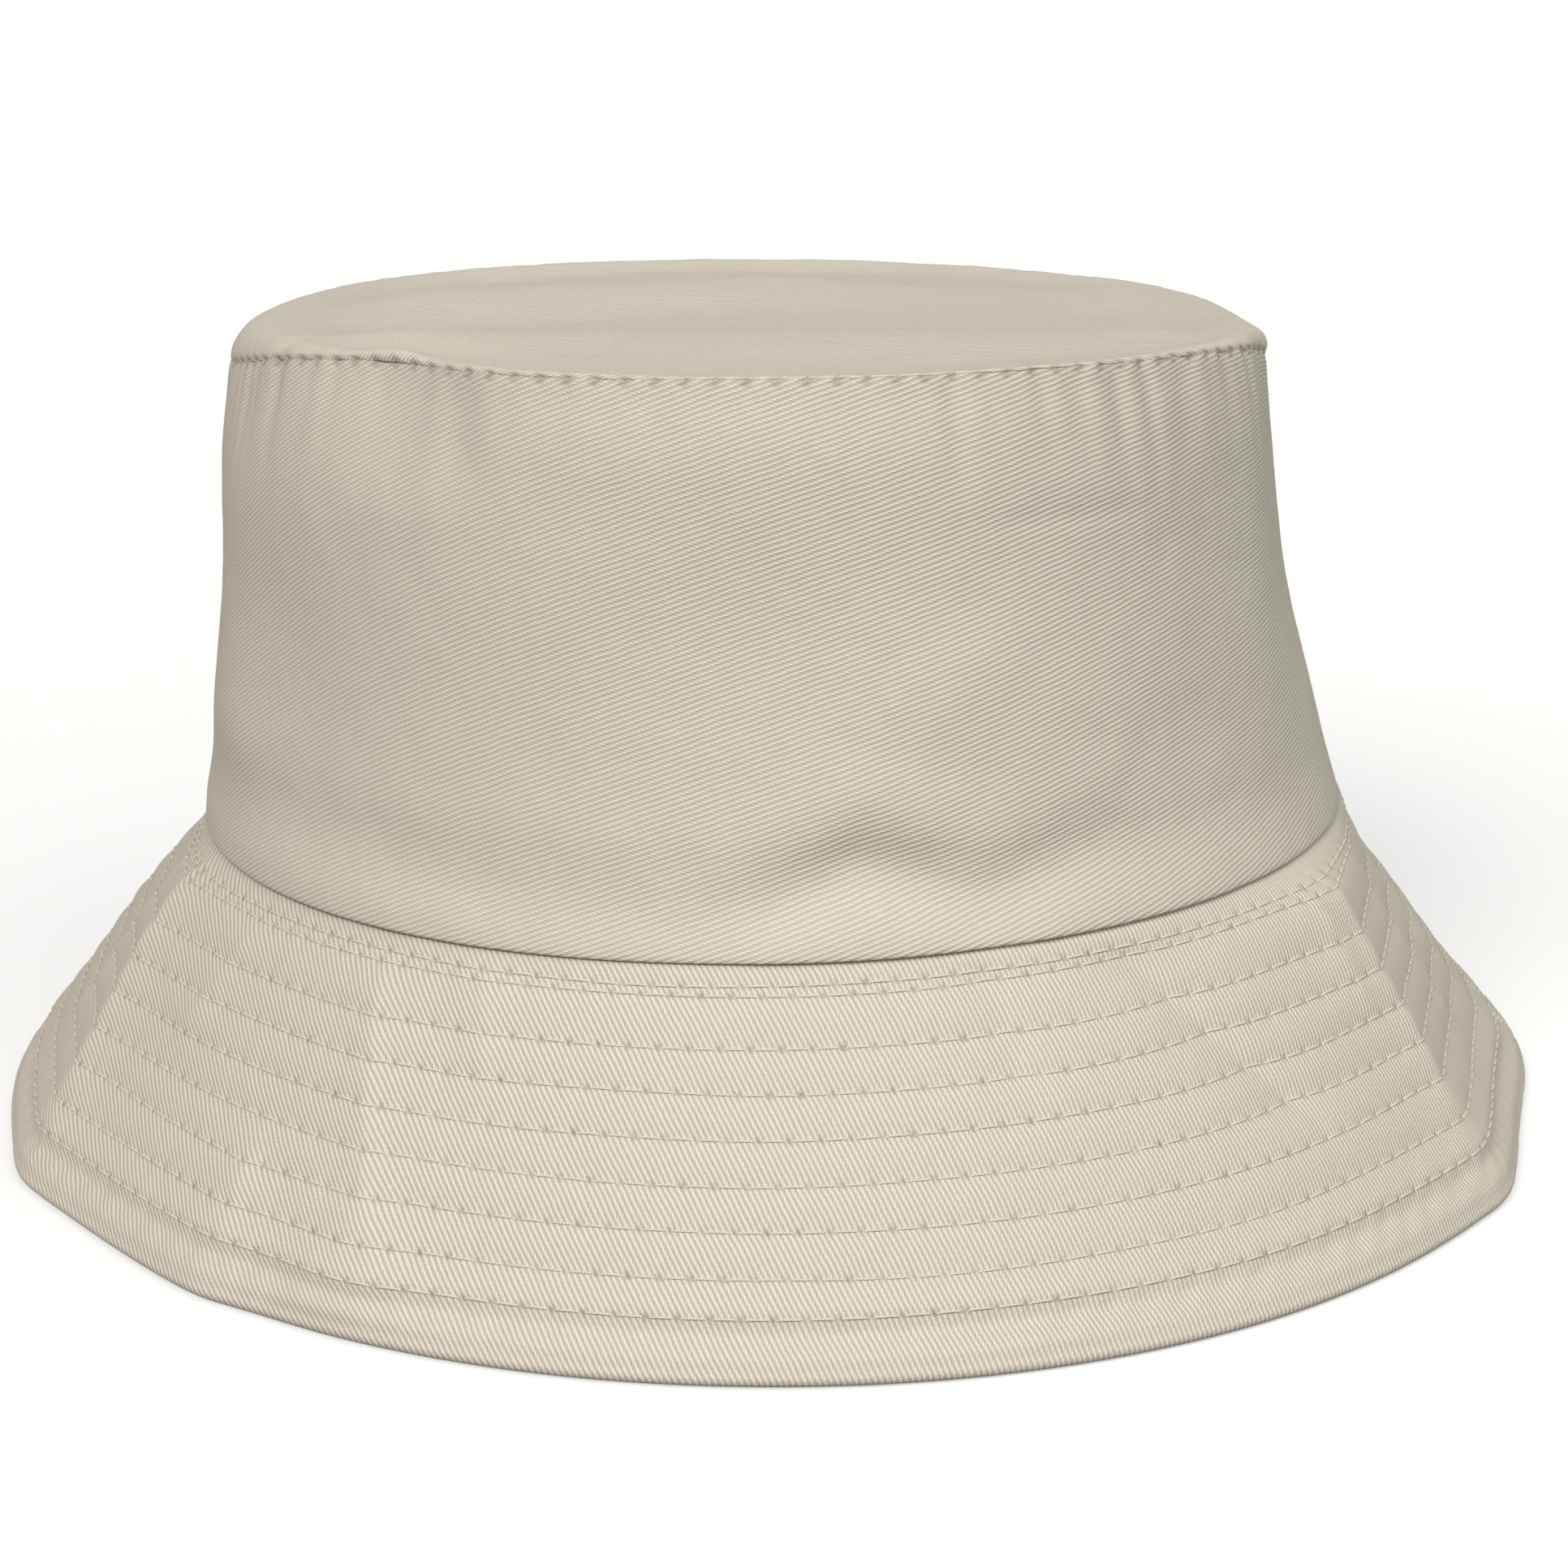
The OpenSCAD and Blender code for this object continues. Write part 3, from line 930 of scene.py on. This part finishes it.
def crown_side(half, material):
    """Half of the crown's wall, its lower edge folded and its upper edge turned in."""
    wall = [(t, 0) for t in np.linspace(1.0, 0.004, 122)]
    fold = [(0.0, -0.12), (-0.002, -0.35), (0.0, -TWILL_T + 0.1)]
    inside = [(t, -TWILL_T) for t in np.linspace(0.006, 0.985, 26)]
    flange = [(0.986, -2.0), (0.986, -5.5), (0.9955, -5.5), (0.9965, -2.0), (0.998, -0.9)]

    def place(turn, share, n):
        outer = (n > -0.2) * 1.0
        lining_side = (n <= -0.2) * (n > -TWILL_T - 0.01)
        relief = crown_relief(turn, share)
        holes = seam_pits(turn, (1 - share) * CROWN_H) * outer
        return crown_point(turn, share, n + relief * (outer + lining_side * 0.6)), holes

    half_panel("crown_side", half, BASE_U, 0.52, wall + fold + inside + flange, place, crown_pattern,
               (-ALLOWANCE / CROWN_H, 1 + ALLOWANCE / CROWN_H), material)


def crown_tip(material):
    """The oval top of the crown, with more points near its seam."""
    over = [(q, 0) for q in np.linspace(0.012, 0.9, 84)] + [(q, 0) for q in np.linspace(0.905, 1, 34)]
    under = [(q, -TWILL_T) for q in np.linspace(1, 0.012, 34)]

    def place(turn, q, n):
        upper = (n > -0.2) * 1.0
        holes = seam_pits(turn, (1 - q) * TOP_U) * upper
        return tip_point(turn, q, n + tip_relief(turn, q) * (0.4 + 0.6 * upper)), holes

    round_panel("crown_tip", 0.8, over + under, place, material)


def crown_top_stitches(material):
    """The seam between the tip and the wall, sunk so that it shows as short dashes."""
    def place(at, lift):
        point = crown_point(ring_turn(at, TOP_U), 1.0, -0.62 + lift)
        point[..., 2] += 0.10 + 0.3 * lift
        return point

    stitched_piece("crown_top_seam_thread", [stitches(ring_count(TOP_U), place)], material)


def hidden_ring_stitches(node, z, depth, material):
    """A row of stitches round the inside of the hat, at a height and a depth behind the crown's face."""
    u = crown_width(z) - depth

    def place(at, lift):
        return crown_point(ring_turn(at, u), (z - SEAM_Z) / CROWN_H, -depth - lift)

    stitched_piece(node, [stitches(ring_count(u), place)], material)


def side_seam_stitches(material):
    """The hidden stitches of the two seams at the sides of the crown."""
    low, high = 2.0 / CROWN_H, 1 - 3.0 / CROWN_H
    count = round((high - low) * CROWN_H / STITCH)

    def seam(side):
        def place(at, lift):
            share = low + (high - low) * at / count
            return crown_point(side + 0 * share, share, -TWILL_T - 0.3 + 0.25 * lift)
        return stitches(count, place)

    stitched_piece("side_seam_threads", [seam(math.pi / 2), seam(-math.pi / 2)], material)


# ---- inside the crown

def lining_relief(turn, share):
    """Loose lining cloth: soft upright folds."""
    held = np.sin(math.pi * np.clip(share, 0, 1)) ** 0.7
    return 0.22 * held * (noise(51, 26, turn, share * 2.0) - 0.6) + 0.05 * noise(52, 110, turn, share * 16)


LINING_TOP = 0.969  # share of the wall's height that the lining reaches


def lining_side(half, material):
    """Half of the lining's wall, hung inside the crown."""
    face = [(t, -LINING_IN - LINING_T) for t in np.linspace(0.004, LINING_TOP, 70)]
    back = [(t, -LINING_IN) for t in np.linspace(LINING_TOP, 0.004, 24)]

    def place(turn, share, n):
        crease = -side_valley(turn, 0.25, 0.7, BASE_U)
        return crown_point(turn, share, n + lining_relief(turn, share) + crease * 0.5), 0 * turn * share

    half_panel("lining_side", half, BASE_U - 2, 1.0, face + back, place, crown_pattern,
               (-ALLOWANCE / CROWN_H, LINING_TOP + ALLOWANCE / CROWN_H), material)


def lining_tip(material):
    """The lining's oval top, hung under the crown's."""
    edge = 0.994
    drop = -2.9
    over = [(q, drop + LINING_T) for q in np.linspace(0.015, edge, 60)]
    under = [(q, drop) for q in np.linspace(edge, 0.015, 60)]

    def place(turn, q, n):
        soft = 0.25 * (noise(53, 22, turn, q * 6) - 0.5) * smooth(q, 0.05, 0.4) * (1 - smooth(q, 0.9, 1))
        return tip_point(turn, q, n + soft, inset=LINING_IN + 0.4), 0 * turn * q

    round_panel("lining_tip", 1.2, over + under, place, material)


def sweatband(material):
    """A folded band round the inside, a little puffed, with its fold at the top."""
    height = node_box("sweatband")[1][2] - SEAM_Z
    top = height / CROWN_H
    start = 0.1 / CROWN_H
    face = [(t, -BAND_IN - BAND_T) for t in np.linspace(start, top - 0.006, 40)]
    fold = [(top - 0.002, -BAND_IN - 0.72 * BAND_T), (top, -BAND_IN - 0.4 * BAND_T)]
    fold.append((top - 0.003, -BAND_IN - 0.1))
    back = [(t, -BAND_IN) for t in np.linspace(top - 0.01, start, 14)]
    row = (node_box("sweatband_thread")[0][2] + THREAD_R - SEAM_Z) / CROWN_H

    def place(turn, share, n):
        inner = (n < -BAND_IN - 0.5 * BAND_T) * 1.0
        puff = 0.22 * np.sin(math.pi * np.clip((share - row) / (top - row), 0, 1)) ** 0.6
        ripple = 0.08 * noise(54, 70, turn, share * 12)
        return crown_point(turn, share, n - inner * (puff + ripple)), 0 * turn * share

    turns = even_turns(-math.pi, math.pi, BASE_U, 1.0)[:-1]
    piece = swept_sheet("sweatband_cloth", turns, face + fold + back, place, crown_pattern(0.0), closed=True)
    finish_piece(piece, material, "sweatband")


# ---- the care label

WALL_LEAN = (BASE_U - TOP_U) / CROWN_H
TAB_CLEAR = 0.05  # air between the label's sewn end and the wall


def wall_bow(x, radius):
    """How far the round wall falls back from its middle, x to the side."""
    return radius - np.sqrt(radius ** 2 - x ** 2)


def ribbon(name, width, path, bow=None):
    """A ribbon of even width. path is a loop of (y, z) points, thickness included. A ribbon on the
    wall is bowed like it."""
    x = np.linspace(-width / 2, width / 2, 25)[:, None]
    y, z = np.array(path, float).T
    back = 0 * x if bow is None else wall_bow(x, bow)
    points = np.stack(np.broadcast_arrays(x, y - back, z), -1)
    steps = np.concatenate([[0], np.cumsum(np.hypot(np.diff(y), np.diff(z)))])
    cloth = np.stack(np.broadcast_arrays(x, steps, 0 * y), -1)
    return new_piece(name, points, tube_faces(x.size, y.size), {"cloth": cloth.reshape(-1, 3)})


def care_label(material):
    """The hanging part of the blank label. It curls a little towards the wearer at its free end."""
    low, high = node_box("care_label")
    width, height = high[0] - low[0], high[2] - low[2]
    thick = high[1] - low[1]
    t = np.linspace(0, 1, 40)
    curl = -1.6 * t ** 2.4 - 0.25 * np.sin(2.2 * np.pi * t) * t
    z = high[2] - t * height
    middle = (low[1] + high[1]) / 2 + curl
    front = list(zip(middle - thick / 2, z))
    back = list(zip((middle + thick / 2)[::-1], z[::-1]))
    piece = ribbon("care_label_ribbon", width, front + back)
    finish_piece(piece, material, "care_label", body="label")


def label_tab(material):
    """The end of the label that is sewn down: the ribbon is folded double there."""
    low, high = node_box("label_tab")
    width, height = high[0] - low[0], high[2] - low[2]
    ply = 0.17
    rise = np.linspace(0, 1, 8)
    outer = high[1] - TAB_CLEAR

    def face(share, inset):
        return outer - WALL_LEAN * height * share - inset, low[2] + height * share

    loop = [face(t, 0.0) for t in rise]
    loop += [face(t, ply) for t in rise[::-1][:-1]]
    loop += [face(rise[0] + 0.05, ply + 0.02)]
    loop += [face(t, ply + 0.04) for t in rise[1:]]
    loop += [face(t, 2 * ply + 0.04) for t in rise[::-1]]
    piece = ribbon("label_tab_ribbon", width, loop, bow=outer - EXTRA / 2)
    finish_piece(piece, material, "label_tab")


def label_stitches(material):
    """The short row that sews the label's end down."""
    low, high = node_box("label_tab")
    z = middle_z("label_tab")
    width = high[0] - low[0]
    count, margin = 8, 0.8
    face = high[1] - TAB_CLEAR - WALL_LEAN * (z - low[2]) - 0.40

    def place(at, lift):
        x = -width / 2 + margin + (width - 2 * margin) * at / count
        return np.stack([x, face - wall_bow(x, face - EXTRA / 2) - lift * 0.6, z + 0 * x], -1)

    stitched_piece("label_thread", [stitches(count, place, THREAD_R * 0.7)], material)


# ---- stage, light and camera

FLOOR_SIZE, BACKDROP_R = 160, 90  # metres
FLOOR_DROP = 0.0003  # the floor lies this far under the brim's edge, in metres
FLOOR_GLOW, BACKDROP_GLOW = 0.42, 1.0
SKY_LIGHT = 0.17
# Azimuth and elevation in degrees, strength, width in degrees and colour.
SUNS = {
    "key": (-30, 38, 2.6, 30, (1.0, 0.955, 0.935)),
    "fill": (44, 42, 2.03, 80, (0.965, 1.0, 0.95)),
}
CAMERA_AT = (0.00137, -0.48088, 0.16731)
CAMERA_TILT = 75.52  # degrees from looking straight down
CAMERA_LENS, CAMERA_SENSOR = 72.48, 36.0


def stage_paint(piece, name, colour, roughness, glow):
    """A plain material that also glows white."""
    paint = Nodes(name)
    paint.finish(colour, roughness)
    paint.shader.inputs["Emission Color"].default_value = (1, 1, 1, 1)
    paint.shader.inputs["Emission Strength"].default_value = glow
    piece.data.materials.append(paint.material)


def studio():
    """A plain pale floor, soft light from the front and above, and the camera."""
    scene = bpy.context.scene
    scene.view_settings.view_transform = "Standard"

    bpy.ops.mesh.primitive_plane_add(size=FLOOR_SIZE, location=(0, 0, -FLOOR_DROP))
    floor = bpy.context.object
    floor.name = "studio_floor"
    stage_paint(floor, "floor_white", (0.55, 0.55, 0.548, 1), 0.9, FLOOR_GLOW)
    floor.visible_diffuse = False

    bpy.ops.mesh.primitive_uv_sphere_add(segments=64, ring_count=32, radius=BACKDROP_R)
    backdrop = bpy.context.object
    backdrop.name = "studio_backdrop"
    stage_paint(backdrop, "backdrop_white", (0, 0, 0, 1), 1.0, BACKDROP_GLOW)
    for ray in ("diffuse", "glossy", "shadow", "transmission", "volume_scatter"):
        setattr(backdrop, f"visible_{ray}", False)

    world = bpy.data.worlds.new("studio_world")
    world.use_nodes = True
    sky = world.node_tree.nodes["Background"].inputs
    sky["Color"].default_value = (1.0, 0.995, 0.98, 1)
    sky["Strength"].default_value = SKY_LIGHT
    scene.world = world

    for name, (azimuth, elevation, strength, spread, colour) in SUNS.items():
        light = bpy.data.lights.new(name, "SUN")
        light.energy, light.angle, light.color = strength, math.radians(spread), colour
        lamp = bpy.data.objects.new(name, light)
        lamp.rotation_euler = (math.radians(90 - elevation), 0, math.radians(azimuth))
        scene.collection.objects.link(lamp)

    camera = bpy.data.cameras.new("camera")
    camera.lens, camera.sensor_width = CAMERA_LENS, CAMERA_SENSOR
    holder = bpy.data.objects.new("camera", camera)
    holder.location = CAMERA_AT
    holder.rotation_euler = (math.radians(CAMERA_TILT), 0, 0)
    scene.collection.objects.link(holder)
    scene.camera = holder


# ---- the hat

# Every panel is the same cloth. The last number paints a panel a little lighter or darker for how light
# falls on it.
crown_twill = twill_material("twill_crown", 18.5, 0.66, contrast=0.52, painted_light=1.005)
tip_twill = twill_material("twill_tip", 18.5, 0.66, relief=0.12, contrast=1.0, painted_light=1.01)
brim_twill = twill_material("twill_brim", 116.0, 0.70, relief=0.11, contrast=0.95, painted_light=0.975)
under_twill = twill_material("twill_under_brim", 116.0, 0.70, relief=0.11)
band_twill = twill_material("twill_sweatband", 45.0, 0.55, relief=0.06, contrast=0.7)
lining_weave = plain_weave_material("lining_plain_weave", linear(206, 198, 180), linear(168, 158, 138), 0.55)
thread = thread_material()

for half in HALVES:
    brim_under(half, under_twill)
    brim_top(half, brim_twill)
    crown_side(half, crown_twill)
    lining_side(half, lining_weave)
brim_interlining(felt_material())
crown_tip(tip_twill)
lining_tip(lining_weave)
sweatband(band_twill)
for number, (node, s) in enumerate(BRIM_ROWS.items()):
    brim_row(node, s, number, thread)
crown_top_stitches(thread)
for node, depth in (("brim_seam_thread", TWILL_T + 0.3), ("sweatband_thread", BAND_IN + BAND_T)):
    hidden_ring_stitches(node, middle_z(node), depth, thread)
hidden_ring_stitches("lining_seam_thread", SEAM_Z + LINING_TOP * CROWN_H, LINING_IN + LINING_T, thread)
side_seam_stitches(thread)
satin = satin_material()
care_label(satin)
label_tab(satin)
label_stitches(thread)
studio()
